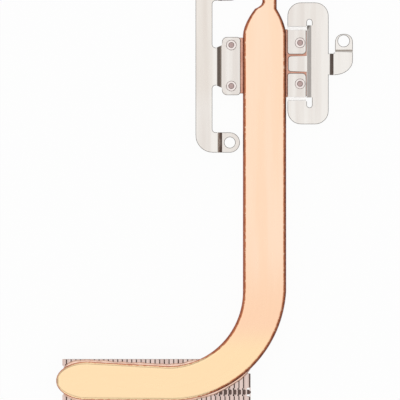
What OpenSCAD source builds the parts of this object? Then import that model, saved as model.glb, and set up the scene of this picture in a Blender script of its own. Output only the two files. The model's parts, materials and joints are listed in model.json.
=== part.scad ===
// Laptop processor heatsink: a flattened heat pipe soldered to a copper base plate and
// to a stack of interlocked fins, with two riveted spring brackets that hold it down.
// Millimetres. The origin is on the face that meets the processor, below the middle of
// the pipe. The pipe runs along Y and bends towards -X over the fins. Z points up.

/* [Heat pipe] */
// Width of the flattened pipe over the base plate
pipe_w = 11.4; // [10.8:0.1:11.8]
// Width of the pipe where the bend ends
bend_w = 9.1; // [8.8:0.1:9.6]
// Width of the pipe near its closed end
end_w = 10.1; // [9.6:0.1:10.4]
// Thickness of the flattened pipe
pipe_t = 2; // [1.8:0.1:2.4]
// Wall of the pipe
pipe_wall = 0.3; // [0.25:0.05:0.4]
// Radius of the inner edge of the bend
bend_r = 19.7; // [18:0.1:22]
// Distance from the origin to the start of the bend
bend_start = 59.2; // [50:0.2:70]
// Length of the straight run from the end of the bend to the closed end
run_len = 29.5; // [28:0.5:34]
// Width of the sealed neck
neck_w = 3.8; // [3.2:0.1:4]
// Length of the sealed neck beyond the shoulder
neck_len = 5.8; // [4:0.2:9]
// Width of the wick strip inside the pipe
wick_w = 3.2; // [2:0.2:4.4]

/* [Base plate] */
// Thickness of the base plate
plate_t = 1.2; // [1:0.1:1.6]
// Length of the base plate's wide right part, along Y
plate_right_len = 17.9; // [17.5:0.1:18.3]
// Length of the base plate's left part, along Y
plate_left_len = 14.7; // [14.4:0.1:15]

/* [Brackets] */
// Thickness of the spring steel sheet
sheet_t = 0.5; // [0.4:0.05:0.6]
// Height of the raised sheet above the base plate
sheet_rise = 0.8; // [0.7:0.1:1.2]
// Height of the screw ears' underside above the contact face
ear_z = 0.4; // [0.2:0.1:0.7]
// Distance between the two left screw holes
ear_pitch = 40; // [39:0.1:42]
// Radius of the screw holes, for M2.5 screws
hole_r = 1.4; // [1.3:0.05:1.5]
// Width of the long bar of the left bracket
bar_w = 4.4; // [4:0.1:4.8]

/* [Rivets] */
// Distance between the two rivets of one bracket
rivet_pitch = 10.8; // [10.4:0.1:11.2]
// Radius of a rivet's head
rivet_head_r = 1.35; // [1.2:0.05:1.5]

/* [Fins] */
// Number of fins
fin_count = 40; // [40:1:40]
// Distance from one fin to the next
fin_pitch = 1.228; // [1.2:0.002:1.24]
// Height of a fin
fin_h = 6; // [5:0.5:8]
// Depth of a fin along the air's way
fin_depth = 11; // [10.4:0.1:14]
// Thickness of the fin sheet
fin_t = 0.2; // [0.15:0.01:0.2]

/* [Hidden] */
function pad2(i) = i < 10 ? str("0", i) : str(i);
FIN_NODES = [for (i = [1:fin_count]) str("fin_", pad2(i))];

copper = [0.99, 0.86, 0.75];
plate_copper = [0.80, 0.61, 0.57];
wick_copper = [0.75, 0.47, 0.34];
steel = [0.91, 0.89, 0.86];
rivet_metal = [0.78, 0.72, 0.70];
fin_metal = [0.80, 0.74, 0.72];

// Levels
pipe_z = plate_t + pipe_t / 2;
raised_z = plate_t + sheet_rise;

// Heat pipe: shoulder and neck at the top
half_w = pipe_w / 2;
half_t = pipe_t / 2;
shoulder_y = 8.2;
shoulder_len = 7;
shoulder_drop_left = 3.15;
shoulder_drop_right = 2.5;
shoulder_power = 1.7;
neck_blend = 1.7;
shoulder_end = shoulder_y + shoulder_len;
neck_end = shoulder_end + neck_len;
neck_right = half_w - shoulder_drop_right;
neck_left = neck_right - neck_w;
neck_nose = 1.4;

// Heat pipe: bend and run
bend_x = -half_w - bend_r;
bend_y = -bend_start;
run_top = bend_y - bend_r;
run_rise = 1.2;
run_end = bend_x - run_len;
end_nose = 8;
widen_len = run_len - end_nose;
bend_ease = 1.3;
bend_steps = 36;
side_steps = 10;
nose_steps = 7;

// Base plate
plate_left_x = -10.9;
plate_step_x = -4.9;
plate_right_x = 11.2;
plate_left_y = 0.26;
plate_right_y = 0.85;
plate_corner = 0.8;

// Left bracket
bend_radius = 0.5;
bar_x = -18.15;
bar_corner = 4.5;
bay_corner = 0.9;
ear_w = 5.3;
ear_x = -9.15;
neck_half = 4.95;
neck_bend_x = -12.75;
ear_bend_x = -12.55;
ear_bend_len = 1.45;
tab_bend_len = 1.5;
tab_left_x = -11.2;
tab_right_x = -6.35;
tab_half = 7.65;
tab_y = 0.12;
tab_neck_half = 5.6;
tab_corner_left = 1.3;
tab_corner_right = 0.9;

// Right bracket
frame_x0 = 6.05;
frame_x1 = 16.85;
frame_y0 = -15.2;
frame_y1 = 16.85;
frame_corner = 3.55;
slot_x0 = 11.15;
slot_x1 = 12.5;
slot_y0 = -10.8;
slot_y1 = 12.4;
window_y0 = -9.2;
window_y1 = 10.8;
finger_x1 = 10.95;
finger_gap_y0 = -1.75;
finger_gap_y1 = 3.25;
finger_bend_len = 1.3;
finger_corner = 1;
finger_corner_small = 0.6;
ramp_y0 = -8.15;
ramp_y1 = 10.85;
ramp_foot_x = 11.2;
ramp_radius = 0.3;
tongue_x0 = 6.2;
tongue_y0 = -1.35;
tongue_y1 = 2.8;
tongue_corner = 0.8;
arm_z = 1.1;
arm_radius = 0.35;
arm_y0 = -2.25;
arm_y1 = 3.4;
arm_bend_x = 17;
arm_x0 = 18.3;
arm_x1 = 23.25;
arm_bend_y = 3.65;
arm_curve_y = 1.65;
pad_x0 = 18.6;
pad_y0 = 4.5;
pad_y1 = 8.6;
pad_corner = 2.1;
pad_bend_radius = 0.35;
pad_hole = [20.85, 6.75];
pad_hole_r = 1.5;
outline_steps = 8;

// Rivets
rivet_left_x = -8.75;
rivet_right_x = 9.35;
rivet_shank_r = 0.8;
rivet_head_h = 0.3;
rivet_dimple_r = 0.65;
rivet_dimple_h = 0.22;
rivet_edge = 0.1;
rivet_flare_r = 1.25;
rivet_flare_h = 0.45;
rivet_recess = 0.05;

// Fins
fin_top = plate_t;
fin_x = bend_x - 27.86;
fin_back = run_top + 1.77;
fin_bend = 0.45;
last_extra = 0.45;
last_bend = 0.65;
last_cut = 3.8;
lock_from_edge = 2.35;
lock_half = 1.25;
notch_half_open = 0.8;
notch_half_end = 0.5;
notch_len = 0.42;
tongue_x = 0.7;
tongue_half = 0.6;
tongue_fall = 0.45;
tongue_reach = 0.6;
tongue_tip_half = 0.4;
relief_half = 1;
web_open = 0.55;
eps = 0.01;

// Helpers
function lerp(a, b, t) = a + (b - a) * t;
function ease_out(t, power = 2) = 1 - pow(1 - t, power);
function nose(t) = sqrt(max(0, 1 - (1 - t) * (1 - t)));
function arc(centre, r, from, to, steps) = [
    for (i = [0:steps])
        let (a = lerp(from, to, i / steps))
        [centre[0] + r * cos(a), centre[1] + r * sin(a)]
];

// A rectangle from [x0, y0] to [x1, y1] with one radius for its left corners and one
// for its right corners
function plate_outline(x0, y0, x1, y1, r_left, r_right) = concat(
    arc([x1 - r_right, y1 - r_right], r_right, 0, 90, outline_steps),
    arc([x0 + r_left, y1 - r_left], r_left, 90, 180, outline_steps),
    arc([x0 + r_left, y0 + r_left], r_left, 180, 270, outline_steps),
    arc([x1 - r_right, y0 + r_right], r_right, 270, 360, outline_steps)
);

// Edges of the pipe's shoulder and neck at the height y
function shoulder_drop(y, full) = 
    full * pow(max(0, y - shoulder_y) / shoulder_len, shoulder_power);
function left_edge(y) =
    y <= shoulder_end ? -half_w + shoulder_drop(y, shoulder_drop_left) :
    lerp(-half_w + shoulder_drop_left, neck_left,
        ease_out(min(1, (y - shoulder_end) / neck_blend)));
function right_edge(y) =
    y <= shoulder_end ? half_w - shoulder_drop(y, shoulder_drop_right) : neck_right;

// One station of the pipe: centre, direction across, half width and half thickness
function upright_station(y, grow = 1) = [
    [(left_edge(y) + right_edge(y)) / 2, y],
    [1, 0],
    grow * (right_edge(y) - left_edge(y)) / 2,
    half_t * grow
];
function bend_station(a) =
    let (w = lerp(pipe_w, bend_w, ease_out(a / 90, bend_ease)))
    let (across = [cos(a), -sin(a)])
    [[bend_x, bend_y] + across * (bend_r + w / 2), across, w / 2, half_t];
function run_station(x) =
    let (far = bend_x - x)
    let (t = min(1, far / widen_len))
    let (tip = max(0, x - run_end))
    let (shut = tip < end_nose ? nose(tip / end_nose) : 1)
    let (thin = tip < half_t ? nose(tip / half_t) : 1)
    let (w = lerp(bend_w, end_w, t))
    let (bottom = run_top - bend_w - (end_w - bend_w - run_rise) * t)
    [[x, bottom + w / 2], [0, -1], shut * w / 2, half_t * thin];

// The stations from the tip of the neck to the closed end over the fins
neck_tip = [
    for (i = [1:nose_steps])
        upright_station(neck_end - neck_nose * i / nose_steps, nose(i / nose_steps))
];
neck_body = [
    for (y = [shoulder_end + neck_blend * 1.2, shoulder_end + neck_blend,
        shoulder_end + neck_blend * 0.6, shoulder_end + neck_blend * 0.3,
        shoulder_end + neck_blend * 0.12])
        upright_station(y)
];
shoulder = [
    for (i = [0:nose_steps])
        upright_station(shoulder_end - shoulder_len * i / nose_steps)
];
bend = [
    for (i = [0:bend_steps])
        bend_station(90 * i / bend_steps)
];
run_body = [
    for (i = [1:3])
        run_station(bend_x - widen_len * i / 3)
];
run_tip = [
    for (t = [0.84, 0.68, 0.53, 0.39, 0.26, 0.16, 0.085, 0.035, 0.006])
        run_station(run_end + end_nose * t)
];
pipe_body = concat(shoulder, bend, run_body);
pipe_stations = concat(neck_tip, neck_body, pipe_body, run_tip);
bore_stations = concat(pipe_body, [for (i = [0:4]) run_tip[i]]);

// The ring of points round one station, inset from the pipe's outer face
function pipe_ring(station, inset) =
    let (ht = station[3] - inset)
    let (hw = station[2] - inset)
    let (side = min(ht, hw))
    [
        for (end = [1, -1])
            for (i = [0:side_steps])
                let (a = end * lerp(-90, 90, i / side_steps) + (end < 0 ? 180 : 0))
                let (out = end * (hw - side) + side * cos(a))
                [
                    station[0][0] + station[1][0] * out,
                    station[0][1] + station[1][1] * out,
                    pipe_z + ht * sin(a) * end
                ]
    ];

// A closed skin over rings that all have the same number of points
module skin(rings) {
    count = len(rings[0]);
    last = len(rings) - 1;
    points = [for (ring = rings) for (p = ring) p];
    walls = [
        for (r = [0:last - 1])
            for (i = [0:count - 1])
                let (j = (i + 1) % count)
                let (a = r * count + i)
                let (b = r * count + j)
                let (c = (r + 1) * count + j)
                let (d = (r + 1) * count + i)
                for (face = [[a, c, b], [a, d, c]]) face
    ];
    first_cap = [for (i = [0:count - 1]) i];
    last_cap = [for (i = [count - 1:-1:0]) last * count + i];
    polyhedron(points, concat([first_cap], walls, [last_cap]));
}

module heat_pipe() {
    color(copper)
    difference() {
        skin([for (s = pipe_stations) pipe_ring(s, 0)]);
        skin([for (s = bore_stations) pipe_ring(s, pipe_wall)]);
    }
}

// The wick is a strip held between the two flat walls
module pipe_wick() {
    high = half_t - pipe_wall;
    rings = [
        for (s = pipe_body)
            [
                for (corner = [[-1, -1], [1, -1], [1, 1], [-1, 1]])
                    [
                        s[0][0] + s[1][0] * corner[0] * wick_w / 2,
                        s[0][1] + s[1][1] * corner[0] * wick_w / 2,
                        pipe_z + corner[1] * high
                    ]
            ]
    ];
    color(wick_copper) skin(rings);
}

// Where the rivets stand
function rivet_y(middle, side) = middle + side * rivet_pitch / 2;
module at_rivets() {
    for (side = [-1, 1]) {
        translate([rivet_left_x, rivet_y(plate_left_y, side), 0]) children();
        translate([rivet_right_x, rivet_y(plate_right_y, side), 0]) children();
    }
}

// A flat block with two steps: the left part is shorter than the right part
module base_plate() {
    left = plate_left_len / 2;
    right = plate_right_len / 2;
    color(plate_copper)
    difference() {
        union() {
            linear_extrude(plate_t)
                polygon(plate_outline(plate_left_x, plate_left_y - left,
                    plate_step_x + 2, plate_left_y + left, plate_corner, 0.1));
            linear_extrude(plate_t)
                polygon(plate_outline(plate_step_x, plate_right_y - right,
                    plate_right_x, plate_right_y + right, plate_corner, plate_corner));
        }
        at_rivets() rivet_bore();
    }
}

// Through hole with the flared mouth that the rivet's closed end fills
module rivet_bore() {
    translate([0, 0, -1]) cylinder(h = plate_t + 2, r = rivet_shank_r, $fn = 32);
    cylinder(h = rivet_flare_h, r1 = rivet_flare_r, r2 = rivet_shank_r, $fn = 32);
}

// Rivet: head with a dimple on the sheet, shank, and closed end in the plate's flare
module rivet() {
    seat = plate_t + sheet_t;
    top = seat + rivet_head_h;
    slope = (rivet_flare_r - rivet_shank_r) / rivet_flare_h;
    color(rivet_metal)
    rotate_extrude($fn = 40)
        polygon([
            [0, rivet_recess],
            [rivet_flare_r - slope * rivet_recess, rivet_recess],
            [rivet_shank_r, rivet_flare_h],
            [rivet_shank_r, seat],
            [rivet_head_r, seat],
            [rivet_head_r, top - rivet_edge],
            [rivet_head_r - rivet_edge, top],
            [rivet_dimple_r + rivet_edge, top],
            [rivet_dimple_r, top - rivet_dimple_h],
            [0, top - rivet_dimple_h]
        ]);
}

// Middle line of a sheet that steps down by drop over the length len, with two equal
// bends: each point is [along, height, slope angle]
function step_line(len, drop, r) =
    let (gap = 2 * r - drop)
    let (reach = sqrt(len * len + gap * gap))
    let (turn = asin(2 * r / reach) - atan2(gap, len))
    concat(
        [for (i = [0:4]) let (a = turn * i / 4) [r * sin(a), -r * (1 - cos(a)), a]],
        [for (i = [4:-1:0]) let (a = turn * i / 4) [len - r * sin(a), r * (1 - cos(a)) - drop, a]]
    );

// Section of the stepped sheet, from the level of its upper underside. Flat ends run on
// by the length tail, so that it joins the flat sheets on both sides.
module step_section(len, drop, tail, r) {
    line = step_line(len, drop, r);
    path = concat([[-tail, 0, 0]], line, [[len + tail, -drop, 0]]);
    upper = [for (p = path) [p[0] + sheet_t / 2 * sin(p[2]), p[1] + sheet_t / 2 * cos(p[2])]];
    lower = [for (p = path) [p[0] - sheet_t / 2 * sin(p[2]), p[1] - sheet_t / 2 * cos(p[2])]];
    count = len(path);
    translate([0, sheet_t / 2])
        polygon(concat(upper, [for (i = [count - 1:-1:0]) lower[i]]));
}

// The stepped sheet as a solid that runs down towards +X, from y0 to y1
module step_down_x(x, y0, y1, z, len, drop, tail, r = bend_radius) {
    translate([x, y1, z])
        rotate([90, 0, 0])
        linear_extrude(y1 - y0) step_section(len, drop, tail, r);
}

// The stepped sheet as a solid that runs down towards +Y (dir 1) or -Y (dir -1)
module step_down_y(y, x0, x1, z, len, drop, tail, dir, r = bend_radius) {
    translate([dir > 0 ? x0 : x1, y, z])
        rotate([0, 0, dir * 90])
        rotate([90, 0, 0])
        linear_extrude(x1 - x0) step_section(len, drop, tail, r);
}

module sheet(z) {
    translate([0, 0, z]) linear_extrude(sheet_t) children();
}

// The bend from the bar down to the tab, which grows wider towards the tab
module tab_bend(tail) {
    foot_x = neck_bend_x + tab_bend_len;
    intersection() {
        step_down_x(neck_bend_x, -tab_neck_half, tab_neck_half, raised_z,
            tab_bend_len, sheet_rise, tail);
        linear_extrude(raised_z + 1)
            polygon([
                [neck_bend_x - 1, -neck_half],
                [neck_bend_x, -neck_half],
                [foot_x, -tab_neck_half],
                [foot_x + 1, -tab_neck_half],
                [foot_x + 1, tab_neck_half],
                [foot_x, tab_neck_half],
                [neck_bend_x, neck_half],
                [neck_bend_x - 1, neck_half]
            ]);
    }
}

// Left bracket: a long bar on three necks, two that drop to the screw ears and one that
// drops to the riveted tab
module left_bracket() {
    ear_out = ear_pitch / 2 + ear_w / 2;
    ear_in = ear_pitch / 2 - ear_w / 2;
    tail = 0.3;
    color(steel)
    difference() {
        union() {
            sheet(raised_z)
                difference() {
                    polygon(plate_outline(bar_x, -ear_out, ear_bend_x, ear_out, bar_corner, 0.01));
                    for (side = [0, 1]) {
                        mirror([0, side])
                            polygon(plate_outline(bar_x + bar_w, neck_half, 0, ear_in,
                                bay_corner, 0.1));
                    }
                }
            tab_bend(tail);
            sheet(plate_t)
                polygon(plate_outline(tab_left_x, tab_y - tab_half, tab_right_x,
                    tab_y + tab_half, tab_corner_left, tab_corner_right));
            for (side = [-1, 1]) {
                middle = side * ear_pitch / 2;
                step_down_x(ear_bend_x, middle - ear_w / 2, middle + ear_w / 2, raised_z,
                    ear_bend_len, raised_z - ear_z, tail);
                sheet(ear_z) {
                    translate([ear_x, middle]) circle(r = ear_w / 2, $fn = 64);
                    translate([ear_bend_x + ear_bend_len, middle - ear_w / 2])
                        square([ear_x - ear_bend_x - ear_bend_len, ear_w]);
                }
            }
        }
        for (side = [-1, 1]) {
            translate([ear_x, side * ear_pitch / 2, -1]) cylinder(h = 6, r = hole_r, $fn = 48);
        }
        at_rivets() translate([0, 0, plate_t - 1])
            cylinder(h = sheet_t + 2, r = rivet_shank_r, $fn = 32);
    }
}

// Outline of the raised frame of the right bracket, with its slot and with the window
// that the two fingers and the tongue are bent down from
module frame_outline() {
    slot_r = (slot_x1 - slot_x0) / 2;
    difference() {
        polygon(plate_outline(frame_x0, frame_y0, frame_x1, frame_y1, frame_corner, frame_corner));
        polygon(plate_outline(slot_x0, slot_y0, slot_x1, slot_y1, slot_r, slot_r));
        translate([frame_x0 - 1, window_y0])
            square([slot_x0 - frame_x0 + 1 + eps, window_y1 - window_y0]);
    }
}

// A finger on the base plate, riveted, with its bend up to the frame
module finger(y_end, y_bend, dir) {
    far = y_bend - dir * finger_bend_len;
    low = min(y_end, far);
    high = max(y_end, far);
    step_down_y(y_bend, frame_x0, finger_x1, raised_z, finger_bend_len, sheet_rise, 0.3, -dir);
    sheet(plate_t)
        difference() {
            translate([frame_x0, low]) square([finger_x1 - frame_x0, high - low]);
            finger_corner_cut(finger_x1, y_end, finger_corner, 1, dir);
            finger_corner_cut(frame_x0, y_end, finger_corner_small, -1, dir);
        }
}

// What rounds one free corner of a finger
module finger_corner_cut(x, y, r, side, dir) {
    translate([x, y])
        difference() {
            translate([side > 0 ? -r : -eps, dir > 0 ? -eps : -r]) square(r + eps);
            translate([-side * r, dir * r]) circle(r = r, $fn = 32);
        }
}

// The arm with the right screw hole: it drops from the frame, rounds off below and
// drops once more to the screw pad
module arm() {
    step_down_x(arm_bend_x, arm_y0, arm_y1, raised_z,
        arm_x0 - 0.1 - arm_bend_x, raised_z - arm_z, 0.3, arm_radius);
    sheet(arm_z)
        polygon(concat(
            [[arm_x1, arm_bend_y], [arm_x0 - 0.1, arm_bend_y], [arm_x0 - 0.1, arm_y0]],
            [
                for (i = [0:outline_steps])
                    let (a = 90 * i / outline_steps)
                    [
                        arm_x0 + (arm_x1 - arm_x0) * sin(a),
                        arm_curve_y - (arm_curve_y - arm_y0) * cos(a)
                    ]
            ]
        ));
    step_down_y(arm_bend_y, pad_x0, arm_x1, arm_z, pad_y0 - arm_bend_y, arm_z - ear_z, 0.2, 1,
        pad_bend_radius);
    sheet(ear_z)
        difference() {
            polygon(plate_outline(pad_x0, pad_y0 - pad_corner, arm_x1, pad_y1,
                pad_corner, pad_corner));
            translate([pad_x0 - 1, pad_y0 - pad_corner - 1])
                square([arm_x1 - pad_x0 + 2, pad_corner + 1]);
        }
}

// Right bracket: one folded sheet with a raised frame
module right_bracket() {
    color(steel)
    difference() {
        union() {
            sheet(raised_z) frame_outline();
            finger(finger_gap_y1, window_y1, 1);
            finger(finger_gap_y0, window_y0, -1);
            mirror([1, 0, 0])
                step_down_x(-slot_x1, ramp_y0, ramp_y1, raised_z,
                    slot_x1 - ramp_foot_x, sheet_rise, 0.1, ramp_radius);
            sheet(plate_t)
                polygon(plate_outline(tongue_x0, tongue_y0, ramp_foot_x + eps, tongue_y1,
                    tongue_corner, 0.01));
            arm();
        }
        translate([pad_hole[0], pad_hole[1], -1])
            cylinder(h = 6, r = pad_hole_r, $fn = 48);
        at_rivets() translate([0, 0, plate_t - 1])
            cylinder(h = sheet_t + 2, r = rivet_shank_r, $fn = 32);
    }
}

// Section of a fin in the plane of X and Z, with its top at 0: a web at the right, at the
// width w, and two flanges that reach left, with rounded bends of the outer radius r
function fin_section(w, r) = concat(
    [[0, -fin_t], [0, 0]],
    arc([w - r, -r], r, 90, 0, 4),
    arc([w - r, r - fin_h], r, 0, -90, 4),
    [[0, -fin_h], [0, fin_t - fin_h]],
    arc([w - r, r - fin_h], r - fin_t, -90, 0, 2),
    arc([w - r, -r], r - fin_t, 0, 90, 2)
);

// Tongue of the interlock, seen from above: it leaves the flange, passes through the
// opening in its own web and ends in a rounded tip below the next fin's flange
module tongue_plan() {
    far = fin_pitch + tongue_reach;
    polygon(concat(
        [[notch_len, -tongue_half], [fin_pitch, -tongue_half]],
        [
            for (i = [0:4])
                let (a = lerp(-90, 90, i / 4))
                [far - tongue_tip_half + tongue_tip_half * cos(a), tongue_tip_half * sin(a)]
        ],
        [[fin_pitch, tongue_half], [notch_len, tongue_half]]
    ));
}

// The tongue falls by the thickness of the sheet, so that it bears on the underside of
// the next flange
module tongue() {
    low = tongue_x + tongue_fall;
    far = fin_pitch + tongue_reach + 1;
    intersection() {
        translate([0, 0, -1]) linear_extrude(2) tongue_plan();
        translate([0, 1, 0])
            rotate([90, 0, 0])
            linear_extrude(2)
            polygon([
                [notch_len, 0],
                [tongue_x, 0],
                [low, -fin_t],
                [far, -fin_t],
                [far, -2 * fin_t],
                [low - 0.08, -2 * fin_t],
                [tongue_x - 0.08, -fin_t],
                [notch_len, -fin_t]
            ]);
    }
}

// What is cut from a flange and its web at one lock: the notch that shows the tongue of
// the fin before, and the opening across the bend for the fin's own tongue
module lock_cut() {
    translate([0, 0, -fin_t - eps])
        linear_extrude(fin_t + 1)
        polygon([
            [-1, notch_half_open],
            [0, notch_half_open],
            [notch_len, notch_half_end],
            [notch_len, -notch_half_end],
            [0, -notch_half_open],
            [-1, -notch_half_open]
        ]);
    translate([0, 0, -web_open])
        linear_extrude(web_open + 1)
        polygon([
            [tongue_x, relief_half],
            [fin_pitch + last_extra + 1, lock_half + 0.4],
            [fin_pitch + last_extra + 1, -lock_half - 0.4],
            [tongue_x, -relief_half]
        ]);
}

// Places a lock's parts on the top flange and on the bottom flange, at both locks or, in
// a fin that is cut back, at the front one only
module at_locks(cut) {
    for (along = [lock_from_edge, fin_depth - lock_from_edge]) {
        if (along > cut) {
            translate([0, -along, 0]) children();
            translate([0, -along, -fin_h]) mirror([0, 0, 1]) children();
        }
    }
}

// One fin, with two tongues and two notches at its top and at its bottom. The last fin is
// wider and rounder, and it is cut back so that it starts at the pipe's edge. Its tongues
// hold nothing and stick out.
module fin(is_last) {
    w = is_last ? fin_pitch + last_extra : fin_pitch;
    r = is_last ? last_bend : fin_bend;
    cut = is_last ? last_cut : 0;
    color(fin_metal) {
        difference() {
            translate([0, -cut, 0])
                rotate([90, 0, 0])
                linear_extrude(fin_depth - cut)
                polygon(fin_section(w, r));
            at_locks(cut) lock_cut();
        }
        at_locks(cut) tongue();
    }
}

module fin_at(i) {
    translate([fin_x + (i - 1) * fin_pitch, fin_back, fin_top]) fin(i == fin_count);
}

heat_pipe();
pipe_wick();
base_plate();
left_bracket();
right_bracket();
translate([rivet_left_x, rivet_y(plate_left_y, 1), 0]) rivet();  // rivet_left_upper
translate([rivet_left_x, rivet_y(plate_left_y, -1), 0]) rivet();  // rivet_left_lower
translate([rivet_right_x, rivet_y(plate_right_y, 1), 0]) rivet();  // rivet_right_upper
translate([rivet_right_x, rivet_y(plate_right_y, -1), 0]) rivet();  // rivet_right_lower
for (i = [1:fin_count]) {
    fin_at(i);
}
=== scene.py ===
"""Laptop processor heatsink: dresses the CAD parts and sets them on a pale table.

The pipe, the base plate, the brackets and the rivets are shown as softened copies of
their CAD parts, whose edges are rounded as stamping and pressing leave them. Solder
seams and surface finishes are added, and the fins keep their CAD shape.
"""

import json
import logging
import math
from dataclasses import dataclass
from enum import Enum

import bmesh
import bpy
from mathutils import Matrix, Vector, noise

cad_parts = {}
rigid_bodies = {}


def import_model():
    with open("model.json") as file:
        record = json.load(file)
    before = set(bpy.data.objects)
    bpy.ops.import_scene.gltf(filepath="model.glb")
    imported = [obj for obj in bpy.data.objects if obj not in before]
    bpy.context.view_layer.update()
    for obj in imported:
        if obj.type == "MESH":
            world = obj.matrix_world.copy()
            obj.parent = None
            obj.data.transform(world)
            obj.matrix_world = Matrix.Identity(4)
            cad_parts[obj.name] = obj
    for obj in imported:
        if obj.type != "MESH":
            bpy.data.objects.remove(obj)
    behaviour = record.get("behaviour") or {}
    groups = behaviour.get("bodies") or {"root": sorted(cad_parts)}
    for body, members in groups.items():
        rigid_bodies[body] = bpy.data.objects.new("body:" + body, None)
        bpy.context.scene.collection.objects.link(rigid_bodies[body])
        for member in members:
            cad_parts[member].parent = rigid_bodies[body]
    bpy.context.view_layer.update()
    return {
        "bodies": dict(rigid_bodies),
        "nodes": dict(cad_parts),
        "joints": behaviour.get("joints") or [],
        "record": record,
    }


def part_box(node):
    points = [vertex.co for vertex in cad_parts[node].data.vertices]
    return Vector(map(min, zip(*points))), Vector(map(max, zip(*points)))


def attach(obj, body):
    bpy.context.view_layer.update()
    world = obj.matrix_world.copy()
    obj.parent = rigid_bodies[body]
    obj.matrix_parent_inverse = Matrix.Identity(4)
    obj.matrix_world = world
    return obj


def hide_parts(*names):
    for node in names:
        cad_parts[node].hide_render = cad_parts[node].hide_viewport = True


LOG = logging.getLogger("heatsink")
MM = 0.001
PER_MM = 1000.0
BODY = "root"
FIN_COUNT = 40
WHITE = (1.0, 1.0, 1.0, 1.0)
# Settings of a Map Range node that eases in and out, and of a Mix node for colours
EASED = {"interpolation_type": "SMOOTHSTEP"}
COLOURS = {"data_type": "RGBA"}

Colour = tuple[float, float, float, float]
Node = bpy.types.Node
Socket = bpy.types.NodeSocket
Tree = bpy.types.NodeTree
Axes = bpy.types.bpy_prop_collection


# Node helpers

def linear(code: str) -> Colour:
    """Turns an sRGB hex value to a linear colour.

    Args:
        code: six hex digits, such as "d08a60".

    Returns:
        Red, green, blue and an alpha of 1.
    """
    parts = [int(code[i:i + 2], 16) / 255 for i in (0, 2, 4)]
    made = [c / 12.92 if c <= 0.04045 else ((c + 0.055) / 1.055) ** 2.4 for c in parts]
    return (made[0], made[1], made[2], 1.0)


def put(
    tree: Tree,
    kind: str,
    inputs: dict[str, object] | tuple[object, ...] = (),
    **settings: object,
) -> Node:
    """Adds one node with its settings, its values and its links.

    Args:
        tree: the node tree that takes the node.
        kind: the node's type name, without ShaderNode before it.
        inputs: what goes into the input sockets, by name, or in the order of those in use.
            It is a value, an output socket, or a node, whose first output in use is linked.
        **settings: properties set on the node itself.

    Returns:
        The new node.
    """
    node = tree.nodes.new(f"ShaderNode{kind}")
    for name, value in settings.items():
        setattr(node, name, value)
    if isinstance(inputs, dict):
        pairs = [(node.inputs[name], value) for name, value in inputs.items()]
    else:
        pairs = zip([socket for socket in node.inputs if socket.enabled], inputs)
    for socket, value in pairs:
        if isinstance(value, Node):
            value = next(output for output in value.outputs if output.enabled)
        if isinstance(value, Socket):
            tree.links.new(value, socket)
        else:
            socket.default_value = value
    return node


def blank_material(name: str) -> bpy.types.Material:
    """Makes a material with an empty node tree.

    Args:
        name: the material's name.

    Returns:
        The material.
    """
    material = bpy.data.materials.new(name)
    material.use_nodes = True
    material.node_tree.nodes.clear()
    return material


# The pipe's way, which the solder and the drawing lines follow

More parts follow.
